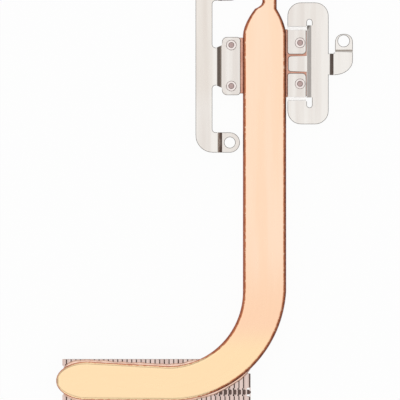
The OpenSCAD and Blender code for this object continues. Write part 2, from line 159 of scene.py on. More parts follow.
@dataclass(frozen=True)
class PipePath:
    """Outline of the bent pipe seen from above, in millimetres, as in the part's source.

    Attributes:
        pipe_w: width of the straight part.
        bend_w: width at the end of the bend.
        end_w: width near the closed end.
        bend_r: radius of the bend's inner edge.
        bend_start: how far the bend starts below the origin.
        bend_ease: how early the bend narrows.
        run_len: length past the bend.
        run_rise: rise of the outer edge past the bend.
        end_nose: length of the rounded end.
        inmost: least distance from the bend's centre in the flow.
    """

    pipe_w: float = 11.4
    bend_w: float = 9.1
    end_w: float = 10.1
    bend_r: float = 19.7
    bend_start: float = 59.2
    bend_ease: float = 1.3
    run_len: float = 29.5
    run_rise: float = 1.2
    end_nose: float = 8.0
    inmost: float = 0.01

    @property
    def corner(self) -> Vector:
        """Centre of the bend."""
        return Vector((-self.pipe_w / 2 - self.bend_r, -self.bend_start))

    @property
    def middle_r(self) -> float:
        """Radius of the bend's middle line."""
        return self.bend_r + self.pipe_w / 2

    def on_bend(self, degrees: float, side: int) -> Vector:
        """Gives a point of the bend's edge.

        Args:
            degrees: angle from the start of the bend.
            side: 1 for the outer edge, -1 for the inner edge.

        Returns:
            The point.
        """
        share = 1 - (1 - degrees / 90) ** self.bend_ease
        width = self.pipe_w + (self.bend_w - self.pipe_w) * share
        angle = math.radians(degrees)
        reach = self.bend_r + (width if side > 0 else 0)
        return self.corner + Vector((math.cos(angle), -math.sin(angle))) * reach

    def on_run(self, far: float, side: int) -> Vector:
        """Gives a point of the edge past the bend.

        Args:
            far: distance from the end of the bend.
            side: 1 for the outer edge, -1 for the inner edge.

        Returns:
            The point.
        """
        share = min(1.0, far / (self.run_len - self.end_nose))
        width = self.bend_w + (self.end_w - self.bend_w) * share
        sink = self.bend_w + (self.end_w - self.bend_w - self.run_rise) * share
        bottom = self.corner.y - self.bend_r - sink
        tip = min(1.0, (self.run_len - far) / self.end_nose)
        shut = math.sqrt(max(0.0, 1 - (1 - tip) ** 2))
        y = bottom + width / 2 - side * shut * width / 2
        return Vector((self.corner.x - far, y))

    def edge(self, side: int, step: float = 0.4) -> list[Vector]:
        """Gives one edge from the start of the bend to the closed end.

        Args:
            side: 1 for the outer edge, -1 for the inner edge.
            step: rough distance between points.

        Returns:
            The points.
        """
        turns = round(math.radians(90) * self.bend_r / step)
        steps = round(self.run_len / step)
        points = [self.on_bend(90 * i / turns, side) for i in range(turns)]
        points += [self.on_run(self.run_len * i / steps, side) for i in range(steps + 1)]
        return points

    def flow(self, tree: Tree, place: Socket) -> Node:
        """Turns Object coordinates to across, along and up on the pipe.

        Args:
            tree: the material's node tree.
            place: the Object coordinates.

        Returns:
            The coordinates that follow the bend, in metres.
        """
        parts = put(tree, "SeparateXYZ", (place,)).outputs
        right = put(tree, "Math", (parts["X"], self.corner.x * MM), operation="SUBTRACT")
        below = put(tree, "Math", (self.corner.y * MM, parts["Y"]), operation="SUBTRACT")
        out_x = put(tree, "Math", (right, self.inmost * MM), operation="MAXIMUM")
        out_y = put(tree, "Math", (below, 0.0), operation="MAXIMUM")
        square_x = put(tree, "Math", (out_x, out_x), operation="MULTIPLY")
        square_y = put(tree, "Math", (out_y, out_y), operation="MULTIPLY")
        squares = put(tree, "Math", (square_x, square_y), operation="ADD")
        across = put(tree, "Math", (squares,), operation="SQRT")
        turn = put(tree, "Math", (out_y, out_x), operation="ARCTAN2")
        arc = put(tree, "Math", (turn, self.middle_r * MM), operation="MULTIPLY")
        past = put(tree, "Math", (right, 0.0), operation="MINIMUM")
        before = put(tree, "Math", (below, 0.0), operation="MINIMUM")
        along = put(tree, "Math", (arc, past), operation="SUBTRACT")
        whole = put(tree, "Math", (along, before), operation="ADD")
        return put(tree, "CombineXYZ", (across, whole, parts["Z"]))


PATH = PipePath()


# Finishes

class Grain(Enum):
    """Stretch of the fine lines that rolling, drawing or grinding leaves."""

    ALONG_X = (0.05, 1.0, 1.0)
    ALONG_Y = (1.0, 0.05, 1.0)
    NONE = (1.0, 1.0, 1.0)


class Layers(Enum):
    """Detail and roughness of a noise's finer layers, which come after its scale."""

    LINES = (3.0, 0.6)
    PATCHES = (2.0, 0.55)
    MOTTLE = (4.0, 0.55)
    SPECKS = (6.0, 0.7)


@dataclass(frozen=True)
class Surface:
    """What a metal's colour is worked out from.

    Attributes:
        tree: the material's node tree.
        place: the Object coordinates.
        normal: the surface normal in the object's frame.
        streaks: the noise of the streaks.
    """

    tree: Tree
    place: Socket
    normal: Socket
    streaks: Node


@dataclass(frozen=True)
class Metal:
    """A bare metal surface with fine lines, streaks, dents and edges of another tone.

    Attributes:
        name: the material's name.
        face: colour of the flat faces, as sRGB hex.
        streak: colour of the faint streaks on the faces.
        rim: colour of what faces sideways: partly a real film of oxide and partly painted shade.
        roughness: roughness of the flat faces.
        grain: direction of the lines and the streaks.
        line_mm: spacing of the fine lines.
        line_depth_mm: depth of the fine lines.
        streak_mm: width of the streaks.
        dent_mm: size of the shallow dents.
        dent_depth_mm: depth of the shallow dents.
        rim_start: upward part of the normal below which the film begins.
        rim_end: upward part of the normal at which the film is full.
        follows: the way that the lines follow, if they aren't straight.
        rough_swing: how far the fine lines move the roughness up and down.
        line_span: values of the lines' noise that give the least and most roughness.
        streak_span: values of the streaks' noise at which they begin and are full.
        speck_mm: size of the specks that break up the film.
        speck_span: values of the specks' noise at which they do most each way.
        speck_swing: how far the specks move the film's limits on the normal.
        level_span: upward part of the normal where the specks fade, and where they end.
    """

    name: str
    face: str
    streak: str
    rim: str
    roughness: float
    grain: Grain = Grain.ALONG_Y
    line_mm: float = 0.35
    line_depth_mm: float = 0.002
    streak_mm: float = 2.0
    dent_mm: float = 3.0
    dent_depth_mm: float = 0.01
    rim_start: float = 0.9
    rim_end: float = 0.45
    follows: PipePath | None = None
    rough_swing: float = 0.04
    line_span: tuple[float, float] = (0.2, 0.8)
    streak_span: tuple[float, float] = (0.35, 0.7)
    speck_mm: float = 0.9
    speck_span: tuple[float, float] = (0.25, 0.75)
    speck_swing: float = 0.15
    level_span: tuple[float, float] = (0.9, 0.995)

    def build(self) -> bpy.types.Material:
        """Makes the material.

        Returns:
            The material, with its nodes linked.
        """
        material = blank_material(self.name)
        tree = material.node_tree
        coords = put(tree, "TexCoord").outputs
        place = coords["Object"]
        way = self.follows.flow(tree, place) if self.follows else place
        drawn = put(tree, "Mapping", {"Vector": way, "Scale": self.grain.value})
        lines = put(tree, "TexNoise", (drawn, PER_MM / self.line_mm, *Layers.LINES.value))
        streaks = put(tree, "TexNoise", (drawn, PER_MM / self.streak_mm, *Layers.PATCHES.value))
        dents = put(tree, "TexNoise", (place, PER_MM / self.dent_mm, *Layers.PATCHES.value))
        limits = (self.roughness - self.rough_swing, self.roughness + self.rough_swing)
        dents_and_slope_light = put(tree, "Bump", {"Height": dents, "Distance": self.dent_depth_mm * MM})
        ground = put(tree, "Bump", {
            "Height": lines,
            "Distance": self.line_depth_mm * MM,
            "Normal": dents_and_slope_light,
        })
        shader = put(tree, "BsdfPrincipled", {
            "Base Color": self.tone(Surface(tree, place, coords["Normal"], streaks)),
            "Metallic": 1.0,
            "Roughness": put(tree, "MapRange", (lines, *self.line_span, *limits), **EASED),
            "Normal": ground,
        })
        put(tree, "OutputMaterial", {"Surface": shader})
        return material

    def streaked(self, surface: Surface) -> Node:
        """Adds the colour of the flat faces.

        Args:
            surface: what it is worked out from.

        Returns:
            The colour.
        """
        tree = surface.tree
        shown = put(tree, "MapRange", (surface.streaks, *self.streak_span), **EASED)
        return put(tree, "Mix", (shown, linear(self.face), linear(self.streak)), **COLOURS)

    def tone(self, surface: Surface) -> Node:
        """Adds the colour: faces with streaks, and the film and painted shade on what faces
        sideways.

        Args:
            surface: what it is worked out from.

        Returns:
            The colour.
        """
        tree = surface.tree
        level = self.broken_level(surface)
        # film on sideways faces: oxide on the pipe, painted shade on outlines and in gaps
        # elsewhere
        film = put(tree, "MapRange", (level, self.rim_end, self.rim_start, 1.0, 0.0), **EASED)
        face = self.streaked(surface)
        return put(tree, "Mix", (film, face, linear(self.rim)), **COLOURS)

    def broken_level(self, surface: Surface) -> Node:
        """Adds the upward part of the normal, broken up by fine specks.

        Args:
            surface: what it is worked out from.

        Returns:
            About 1 on flat faces and about 0 on upright ones.
        """
        tree = surface.tree
        parts = put(tree, "SeparateXYZ", (surface.normal,)).outputs
        level = put(tree, "Math", (parts["Z"],), operation="ABSOLUTE")
        grain = (PER_MM / self.speck_mm, *Layers.SPECKS.value)
        noisy = put(tree, "TexNoise", (surface.place, *grain))
        swing = (-self.speck_swing, self.speck_swing)
        specks = put(tree, "MapRange", (noisy, *self.speck_span, *swing), **EASED)
        sloping = put(tree, "MapRange", (level, *self.level_span, 1.0, 0.0), **EASED)
        broken = put(tree, "Math", (specks, sloping), operation="MULTIPLY")
        return put(tree, "Math", (level, broken), operation="ADD")


@dataclass(frozen=True)
class RecessedMetal(Metal):
    """A metal with painted shade, mottled by noise, on its lower surfaces in a band below its top
    face.

    Attributes:
        recess: colour of the painted shade in the band.
        shade_mottle: darker colour that noise mixes into that painted shade.
        top_mm: level at which the band begins.
        depth_mm: height of the band.
        shade_mottle_mm: size of the mottling.
        blur_mm: how far the band's limits blur up and down.
    """

    # default colours: the painted shade in the rivets' dimples
    recess: str = "cdb6b2"
    shade_mottle: str = "9d8481"
    top_mm: float = 1.9
    depth_mm: float = 0.5
    shade_mottle_mm: float = 0.35
    blur_mm: float = 0.03

    def tone(self, surface: Surface) -> Node:
        """Adds the colour, with the painted shade in the band.

        Args:
            surface: what it is worked out from.

        Returns:
            The colour.
        """
        tree = surface.tree
        top = super().tone(surface)
        level = put(tree, "SeparateXYZ", (surface.place,)).outputs["Z"]
        high, low = self.top_mm * MM, (self.top_mm - self.depth_mm) * MM
        blur = self.blur_mm * MM
        # painted shade: a darker, mottled tone in a band of heights below the top face
        below = put(tree, "MapRange", (level, high - blur, high + blur, 1.0, 0.0), **EASED)
        above = put(tree, "MapRange", (level, low - blur, low + blur), **EASED)
        band = put(tree, "Math", (below, above), operation="MULTIPLY")
        grain = (PER_MM / self.shade_mottle_mm, *Layers.MOTTLE.value)
        mottle = put(tree, "TexNoise", (surface.place, *grain))
        painted_dark = put(tree, "Mix", (mottle, linear(self.recess), linear(self.shade_mottle)), **COLOURS)
        return put(tree, "Mix", (band, top, painted_dark), **COLOURS)


@dataclass(frozen=True)
class SpringMetal(RecessedMetal):
    """The brackets' steel, with painted shade and a painted highlight on its slopes.

    Attributes:
        upper_bar_tone: darker colour on the upper part of the left bracket's bar.
        upper_bar_share: how much of that colour shows.
        upper_bar_x_mm: x at which it is full and at which it ends.
        upper_bar_y_mm: y at which it begins and at which it is full.
        right_slope_shade: colour of the slopes towards +X, painted shade that darkens them.
        softer_slope_shade: lighter painted shade on their part on the left bracket: the upper
            part on its ears, and the lower part on its tab.
        ear_mm: lower and upper level between which the darker shade fades on an ear.
        tab_mm: lower and upper level between which it fades on the tab.
        tab_least: share of the lighter shade that is left above that on the tab.
        ear_y_mm: distance from y = 0 beyond which a slope belongs to an ear.
        left_mm: distance to each side of x = 0 over which the left bracket's tone ends.
        right_slope_start: part of the normal along +X from which a slope is shaded.
        right_slope_end: part of the normal along +X at which it is fully shaded.
        y_slope_highlight: painted highlight on the slopes along Y above y_slope_level_mm.
        low_slope_shade: painted shade on the slopes along Y below y_slope_level_mm.
        y_slope_level_mm: level that parts the two.
        y_slope_start: part of the normal along Y from which a slope is coloured.
        y_slope_end: part of the normal along Y at which it is fully coloured.
        y_slope_blur_mm: how far their border blurs up and down.
    """

    upper_bar_tone: str = "dfd5cb"
    upper_bar_share: float = 0.42
    upper_bar_x_mm: tuple[float, float] = (-14.0, -13.2)
    upper_bar_y_mm: tuple[float, float] = (-12.0, -4.0)
    right_slope_shade: str = "877870"
    softer_slope_shade: str = "cdc0b2"
    ear_mm: tuple[float, float] = (1.95, 2.25)
    tab_mm: tuple[float, float] = (1.8, 2.05)
    tab_least: float = 0.3
    ear_y_mm: float = 10.0
    left_mm: float = 1.0
    right_slope_start: float = 0.08
    right_slope_end: float = 0.58
    y_slope_highlight: str = "fffdfb"
    low_slope_shade: str = "bdb5ad"
    y_slope_level_mm: float = 1.55
    y_slope_start: float = 0.2
    y_slope_end: float = 0.45
    y_slope_blur_mm: float = 0.05

    def tone(self, surface: Surface) -> Node:
        """Adds the colour, with the darker bar, and the painted shade and highlight on the
        slopes.

        Args:
            surface: what it is worked out from.

        Returns:
            The colour.
        """
        tree = surface.tree
        face = super().tone(surface)
        parts = put(tree, "SeparateXYZ", (surface.normal,)).outputs
        spot = put(tree, "SeparateXYZ", (surface.place,)).outputs
        # a darker tone over the upper part of the left bracket's bar
        bar = self.upper_bar_mask(tree, spot)
        face = put(tree, "Mix", (bar, face, linear(self.upper_bar_tone)), **COLOURS)
        # painted highlight on the slopes along Y above a level, painted shade below it
        steep = put(tree, "Math", (parts["Y"],), operation="ABSOLUTE")
        slope = put(tree, "MapRange", (steep, self.y_slope_start, self.y_slope_end), **EASED)
        middle, blur = self.y_slope_level_mm * MM, self.y_slope_blur_mm * MM
        high = put(tree, "MapRange", (spot["Z"], middle - blur, middle + blur), **EASED)
        dents_and_slope_light = put(tree, "Mix", (high, linear(self.low_slope_shade), linear(self.y_slope_highlight)), **COLOURS)
        face = put(tree, "Mix", (slope, face, dents_and_slope_light), **COLOURS)
        # painted shade on the slopes towards +X, lighter on parts of the left bracket
        share = self.softer_shade_share(tree, spot)
        painted_dark = put(tree, "Mix", (share, linear(self.right_slope_shade), linear(self.softer_slope_shade)), **COLOURS)
        mask = put(tree, "MapRange", (parts["X"], self.right_slope_start, self.right_slope_end), **EASED)
        return put(tree, "Mix", (mask, face, painted_dark), **COLOURS)

    def upper_bar_mask(self, tree: Tree, spot: Axes) -> Node:
        """Adds the mask of the darker tone on the left bracket's bar.

        Args:
            tree: the material's node tree.
            spot: the three Object coordinates.

        Returns:
            The share of the darker tone.
        """
        full_x, end_x = (value * MM for value in self.upper_bar_x_mm)
        start_y, full_y = (value * MM for value in self.upper_bar_y_mm)
        shares = (self.upper_bar_share, 0.0)
        beside = put(tree, "MapRange", (spot["X"], full_x, end_x, *shares), **EASED)
        upper = put(tree, "MapRange", (spot["Y"], start_y, full_y), **EASED)
        return put(tree, "Math", (beside, upper), operation="MULTIPLY")

    def softer_shade_share(self, tree: Tree, spot: Axes) -> Node:
        """Adds the share of the lighter painted shade on the slopes of the left bracket.

        Args:
            tree: the material's node tree.
            spot: the three Object coordinates.

        Returns:
            The share.
        """
        width = self.left_mm * MM
        left = put(tree, "MapRange", (spot["X"], -width, width, 1.0, 0.0), **EASED)
        off = put(tree, "Math", (spot["Y"],), operation="ABSOLUTE")
        far = put(tree, "Math", (off, self.ear_y_mm * MM), operation="GREATER_THAN")
        near = put(tree, "Math", (1.0, far), operation="SUBTRACT")
        low, high = (value * MM for value in self.ear_mm)
        ear = put(tree, "MapRange", (spot["Z"], low, high), **EASED)
        low, high = (value * MM for value in self.tab_mm)
        tab = put(tree, "MapRange", (spot["Z"], low, high, 1.0, self.tab_least), **EASED)
        on_ear = put(tree, "Math", (far, ear), operation="MULTIPLY")
        on_tab = put(tree, "Math", (near, tab), operation="MULTIPLY")
        fade = put(tree, "Math", (on_ear, on_tab), operation="ADD")
        return put(tree, "Math", (left, fade), operation="MULTIPLY")


@dataclass(frozen=True)
class PipeMetal(Metal):
    """The pipe's copper, yellower towards the fins and brown along its outermost edge, partly
    tarnish and partly painted shade.

    Attributes:
        tint: colour of the face in the bend.
        warm: yellower colour of the face over the fins.
        tint_y_mm: y at which the bend's tint begins, and at which it is full.
        warm_y_mm: y at which the last tint begins, and at which it is full.
        film_fade_x_mm: x over the fins at which the film is pushed back most, and at which
            it is not pushed back.
        film_fade_most: how far that moves the film's limits on the normal at the most.
        edge_tarnish_and_shade: colour of the outermost edge on the inner side of the bend.
        outer_edge_tarnish_and_shade: colour of the outermost edge on the outer side of the bend.
        brown_start: upward part of the normal below which the edge turns brown.
        brown_end: upward part of the normal at which it is full.
        side_mm: distance from the pipe's middle over which one brown turns to the other.
    """

    tint: str = "fdd4b3"
    warm: str = "fedfb3"
    tint_y_mm: tuple[float, float] = (-45.0, -66.0)
    warm_y_mm: tuple[float, float] = (-67.0, -76.0)
    film_fade_x_mm: tuple[float, float] = (-19.0, -11.0)
    film_fade_most: float = 0.3
    edge_tarnish_and_shade: str = "9c4e39"
    outer_edge_tarnish_and_shade: str = "743526"
    brown_start: float = 0.84
    brown_end: float = 0.56
    side_mm: float = 1.0

    def tone(self, surface: Surface) -> Node:
        """Adds the colour: the tinted face, the film and the burnt edge.

        Args:
            surface: what it is worked out from.

        Returns:
            The colour.
        """
        tree = surface.tree
        parts = put(tree, "SeparateXYZ", (surface.place,)).outputs
        face = self.streaked(surface)
        for ends, code in ((self.tint_y_mm, self.tint), (self.warm_y_mm, self.warm)):
            start, full = (value * MM for value in ends)
            share = put(tree, "MapRange", (parts["Y"], full, start, 1.0, 0.0), **EASED)
            face = put(tree, "Mix", (share, face, linear(code)), **COLOURS)
        low, high = (value * MM for value in self.film_fade_x_mm)
        film_fade = put(tree, "MapRange", (parts["X"], low, high, self.film_fade_most, 0.0), **EASED)
        broken = self.broken_level(surface)
        level = put(tree, "Math", (broken, film_fade), operation="ADD")
        film = put(tree, "MapRange", (level, self.rim_end, self.rim_start, 1.0, 0.0), **EASED)
        rimmed = put(tree, "Mix", (film, face, linear(self.rim)), **COLOURS)
        across = put(tree, "SeparateXYZ", (PATH.flow(tree, surface.place),)).outputs["X"]
        middle, soft = PATH.middle_r * MM, self.side_mm * MM
        outer = put(tree, "MapRange", (across, middle - soft, middle + soft), **EASED)
        # outermost edge: brown tarnish with painted shade, darker on the outer side of the bend
        edge = put(tree, "Mix", (outer, linear(self.edge_tarnish_and_shade), linear(self.outer_edge_tarnish_and_shade)), **COLOURS)
        limits = (self.brown_end, self.brown_start)
        brown = put(tree, "MapRange", (level, *limits, 1.0, 0.0), **EASED)
        return put(tree, "Mix", (brown, rimmed, edge), **COLOURS)


# Copper pipe, drawn, pressed flat and left bare: a pale satin face, and an orange-brown
# film of oxide on the rounded sides, with painted shade along the outermost edge
PIPE_COPPER = PipeMetal(
    "drawn_copper", "fedec3", "fedabc", "dd8b64", 0.3,
    line_mm=0.5, line_depth_mm=0.0008, streak_mm=3.0, dent_mm=2.2, dent_depth_mm=0.01,
    rim_start=0.999, rim_end=0.95, follows=PATH,
)
# Copper plate, stamped and washed: pinker and duller than the pipe
PLATE_COPPER = Metal(
    "stamped_copper", "e0ad9a", "d49c88", "b5806c", 0.36,
    grain=Grain.ALONG_X, line_mm=0.25, line_depth_mm=0.003,
)
# Sheared rim of the copper plate
PLATE_EDGE = Metal(
    "sheared_copper_edge", "c08573", "ab7261", "96604f", 0.5,
    grain=Grain.NONE, line_mm=0.2, line_depth_mm=0.006,
)
# Copper wick, sintered from fine powder: dull and rough
WICK_COPPER = Metal(
    "sintered_copper", "b0714f", "8f543a", "8f543a", 0.75,
    grain=Grain.NONE, line_mm=0.15, line_depth_mm=0.02,
)
# Spring steel strip, cold rolled: a pale satin with streaks along the strip, and painted shade
# in a band at the foot of the ears' steps
SPRING_STEEL = SpringMetal(
    "rolled_spring_steel", "efebe6", "e3dcd6", "d9d3cc", 0.3,
    line_mm=0.3, line_depth_mm=0.001, streak_mm=2.9, dent_mm=6.0, rim_start=0.4, rim_end=0.1,
    recess="b2aba7", shade_mottle="958e89", top_mm=1.18, depth_mm=0.25,
)
# Sheared rim of the spring steel, dull and grey, its darkness partly painted shade for the
# outlines
STEEL_EDGE = Metal(
    "sheared_steel_edge", "928b86", "7b7570", "6f6964", 0.48,
    grain=Grain.NONE, line_mm=0.15, line_depth_mm=0.004, streak_mm=0.8,
)
# Tinned rivet: a bright ring with a painted-shade outline, round a pinkish dimple in painted
# shade
RIVET_TIN = RecessedMetal(
    "tinned_rivet", "f2e8e4", "e8dcd8", "4d413e", 0.32,
    grain=Grain.NONE, line_mm=0.3, line_depth_mm=0.004, rim_start=0.97, rim_end=0.76,
)
# Fin strip, thin aluminium plated for soldering: grey with the copper's warmth in it, with
# painted shade in a band just below the top and on the sides facing the gaps
FIN_METAL = RecessedMetal(
    "plated_aluminium", "e3cec6", "d3bab1", "a58f88", 0.34,
    line_mm=0.2, line_depth_mm=0.003, streak_mm=1.1, rim_start=0.7, rim_end=0.2,
    recess="7e6962", shade_mottle="55453f", top_mm=1.14, depth_mm=0.45,
)
# Tin solder, set from the melt: soft and slightly lumpy, tinted by the copper
SOLDER = Metal(
    "set_solder", "f9d6c3", "efc3ac", "e0ab91", 0.2,
    grain=Grain.NONE, line_mm=0.5, line_depth_mm=0.02, streak_mm=1.4, dent_mm=1.2,
    dent_depth_mm=0.06,
)


# Pieces

def dress(piece: bpy.types.Object, material: bpy.types.Material) -> None:
    """Puts one material on every face of a piece, in place of what it had.

    Args:
        piece: the piece.
        material: the material.
    """
    if not piece.material_slots:
        piece.data.materials.append(material)
    for slot in piece.material_slots:
        slot.material = material


def new_piece(name: str, shape: bmesh.types.BMesh) -> bpy.types.Object:
    """Makes an object from a finished bmesh and links it to the scene.

    Args:
        name: the object's name.
        shape: the bmesh, which is freed.

    Returns:
        The new object.
    """
    mesh = bpy.data.meshes.new(name)
    shape.to_mesh(mesh)
    shape.free()
    piece = bpy.data.objects.new(name, mesh)
    bpy.context.scene.collection.objects.link(piece)
    return piece


@dataclass
class SoftenedPart:
    """A copy of a CAD part with smooth bends, and with rolled edges where it was cut.

    Attributes:
        node: the CAD node that the piece replaces.
        slot: the record's material slot; it is not used.
        metal: the material of the faces.
        edge_metal: the material of the cut edges, if they differ.
        edge_mm: width of the rolled edge, or 0 for none.
        sharp_deg: angle from which an edge counts as a cut edge.
        merge_mm: distance below which corners are one.
        flat_deg: angle below which neighbouring faces are one.
        sliver_mm: height below which a triangle counts as a sliver.
        sliver_rounds: how often slivers are looked for at the most.
        room: least width of a face beside a rolled edge, in widths of that edge.
        slack_mm: how far past an edge's ends a corner counts as beside it.
        level_share: most rise of a rolled edge, as a share of its length.
        upright: upward part of the normal below which a face is a cut face.
    """

    node: str
    slot: str
    metal: bpy.types.Material
    edge_metal: bpy.types.Material | None = None
    edge_mm: float = 0.1
    sharp_deg: float = 50.0
    merge_mm: float = 0.012
    flat_deg: float = 0.5
    sliver_mm: float = 0.002
    sliver_rounds: int = 4
    room: float = 1.1
    slack_mm: float = 0.001
    level_share: float = 0.02
    upright: float = 0.12

    def build(self, frame: dict) -> bpy.types.Object:
        """Makes the piece, which replaces its CAD node.


        Returns:
            The piece.
        """
        piece = new_piece(f"{self.node}_soft", self.shape(frame["nodes"][self.node]))
        piece.data.materials.append(self.metal)
        if self.edge_metal:
            piece.data.materials.append(self.edge_metal)
        even = piece.modifiers.new("even_normals", "WEIGHTED_NORMAL")
        even.keep_sharp = True
        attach(piece, BODY)
        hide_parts(self.node)
        return piece

    def shape(self, source: bpy.types.Object) -> bmesh.types.BMesh:
        """Copies the CAD part, merges its corners and rolls its cut edges.

        Args:
            source: the CAD node's object.

        Returns:
            The finished copy.
        """
        shape = bmesh.new()
        shape.from_mesh(source.data)
        for face in shape.faces:
            face.material_index = 0
        bmesh.ops.remove_doubles(shape, verts=shape.verts, dist=self.merge_mm * MM)
        bmesh.ops.dissolve_limit(
            shape, angle_limit=math.radians(self.flat_deg), verts=shape.verts, edges=shape.edges
        )
        if self.edge_mm > 0:
            self.roll_edges(shape)
        self.clear_slivers(shape)
        sharp = math.radians(self.sharp_deg)
        for edge in shape.edges:
            edge.smooth = len(edge.link_faces) == 2 and edge.calc_face_angle(0.0) < sharp
        for face in shape.faces:
            face.smooth = True
        return shape

    def clear_slivers(self, shape: bmesh.types.BMesh) -> None:
        """Joins corners that lie on an edge to that edge, so that no face is without area.

        Args:
            shape: the copy that is changed.
        """
        least = self.sliver_mm * MM
        for _ in range(self.sliver_rounds):
            flat = set()
            for loops in shape.calc_loop_triangles():
                first, second, third = (loop.vert.co for loop in loops)
                longest = max((second - first).length, (third - second).length,
                              (first - third).length)
                if (second - first).cross(third - first).length < least * longest:
                    flat.add(loops[0].face)
            if not flat:
                return
            bmesh.ops.triangulate(
                shape, faces=list(flat), quad_method="BEAUTY", ngon_method="BEAUTY"
            )
            bmesh.ops.dissolve_degenerate(shape, edges=shape.edges, dist=least)

    def has_room(self, edge: bmesh.types.BMEdge) -> bool:
        """Tells whether both faces beside an edge are wider than its rolled edge will be.

        Args:
            edge: the edge.

        Returns:
            True if no other corner of the two faces lies too near the edge.
        """
        start = edge.verts[0].co
        along = (edge.verts[1].co - start).normalized()
        slack = self.slack_mm * MM
        for face in edge.link_faces:
            for vert in face.verts:
                reach = (vert.co - start).dot(along)
                beside = (vert.co - start - along * reach).length
                level = -slack < reach < edge.calc_length() + slack
                if vert not in edge.verts and level and beside < self.room * self.edge_mm * MM:
                    return False
        return True

    def roll_edges(self, shape: bmesh.types.BMesh) -> None:
        """Rounds the cut edges that are convex, level and have room, and marks the cut faces.

        Args:
            shape: the copy that is changed.
        """
        sharp = math.radians(self.sharp_deg)
        cut = []
        for edge in shape.edges:
            start, end = (vert.co for vert in edge.verts)
            level = abs(end.z - start.z) < self.level_share * (end - start).length
            folds = len(edge.link_faces) == 2 and edge.calc_face_angle(0.0) > sharp
            if folds and edge.is_convex and level and self.has_room(edge):
                cut.append(edge)
        made = bmesh.ops.bevel(
            shape, geom=cut, offset=self.edge_mm * MM, offset_type="OFFSET",
            affect="EDGES", segments=2, profile=0.5, material=-1, clamp_overlap=False,
        )
        if not self.edge_metal:
            return
        for face in made["faces"]:
            face.material_index = 1
        for face in shape.faces:
            if abs(face.normal.z) < self.upright:
                face.material_index = 1


# Section of a fillet of solder, from under the pipe, out along the fins and back up to the
# pipe's side: a share of the fillet's width, what is added to that, and the rise, in millimetres
FILLET = (
    (0.0, -0.9, 0.0), (1.0, 0.0, 0.0), (1.0, 0.0, 0.16), (0.97, 0.0, 0.3), (0.86, 0.0, 0.42),
    (0.66, 0.0, 0.5), (0.4, 0.0, 0.55), (0.15, 0.0, 0.58), (0.0, -0.12, 0.62),
    (0.0, -0.35, 0.66),
)


@dataclass
class SolderSeam:
    """A fillet of set solder along an edge of the pipe.

    Attributes:
        name: the piece's name.
        points: the pipe's edge, seen from above, in millimetres.
        side: 1 if the solder lies to the left of the points' direction, else -1.
        level_mm: height of what the solder stands on.
        limit: lowest and highest x and y that it may reach.
        out_mm: how far it shows beyond the pipe, on average.
        wander_mm: how far that width wanders.
        least_mm: least width before the ends taper.
        waves_per_mm: how often the width wanders.
        taper: number of points over which each end tapers.
    """

    name: str
    points: list[Vector]
    side: int
    level_mm: float
    limit: tuple[float, float, float, float]
    out_mm: float = 0.5
    wander_mm: float = 0.3
    least_mm: float = 0.05
    waves_per_mm: float = 0.45
    taper: int = 3

    def section(self, point: Vector, out: Vector, width: float) -> list[Vector]:
        """Gives the fillet's section at one point.

        Args:
            point: the point of the pipe's edge.
            out: the direction away from the pipe.
            width: how far the solder shows.

        Returns:
            The section's corners, in metres.
        """
        low_x, low_y, high_x, high_y = self.limit
        made = []
        for share, more, rise in FILLET:
            flat = point + out * (width * share + more)
            x = min(max(flat.x, low_x), high_x)
            y = min(max(flat.y, low_y), high_y)
            made.append(Vector((x, y, self.level_mm + rise)) * MM)
        return made

    def build(self, material: bpy.types.Material) -> bpy.types.Object:
        """Makes the seam.

        Args:
            material: the solder.

        Returns:
            The piece.
        """
        shape = bmesh.new()
        rings = []
        last = len(self.points) - 1
        for i, point in enumerate(self.points):
            ahead = self.points[min(i + 1, last)] - self.points[max(i - 1, 0)]
            out = Vector((-ahead.y, ahead.x)).normalized() * self.side
            spot = point * self.waves_per_mm
            wave = noise.noise(Vector((spot.x, spot.y, self.level_mm)))
            ends = min(1.0, (min(i, last - i) + 0.5) / self.taper)
            width = max(self.least_mm, self.out_mm + wave * self.wander_mm) * ends
            ring = [shape.verts.new(corner) for corner in self.section(point, out, width)]
            rings.append([shape.edges.new(pair) for pair in zip(ring, ring[1:] + ring[:1])])
        for first, second in zip(rings, rings[1:]):
            bmesh.ops.bridge_loops(shape, edges=first + second)
        bmesh.ops.holes_fill(shape, edges=rings[0] + rings[-1], sides=len(FILLET))
        bmesh.ops.recalc_face_normals(shape, faces=shape.faces)
        for face in shape.faces:
            face.smooth = len(face.verts) == 4
        piece = new_piece(self.name, shape)
        dress(piece, material)
        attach(piece, BODY)
        return piece


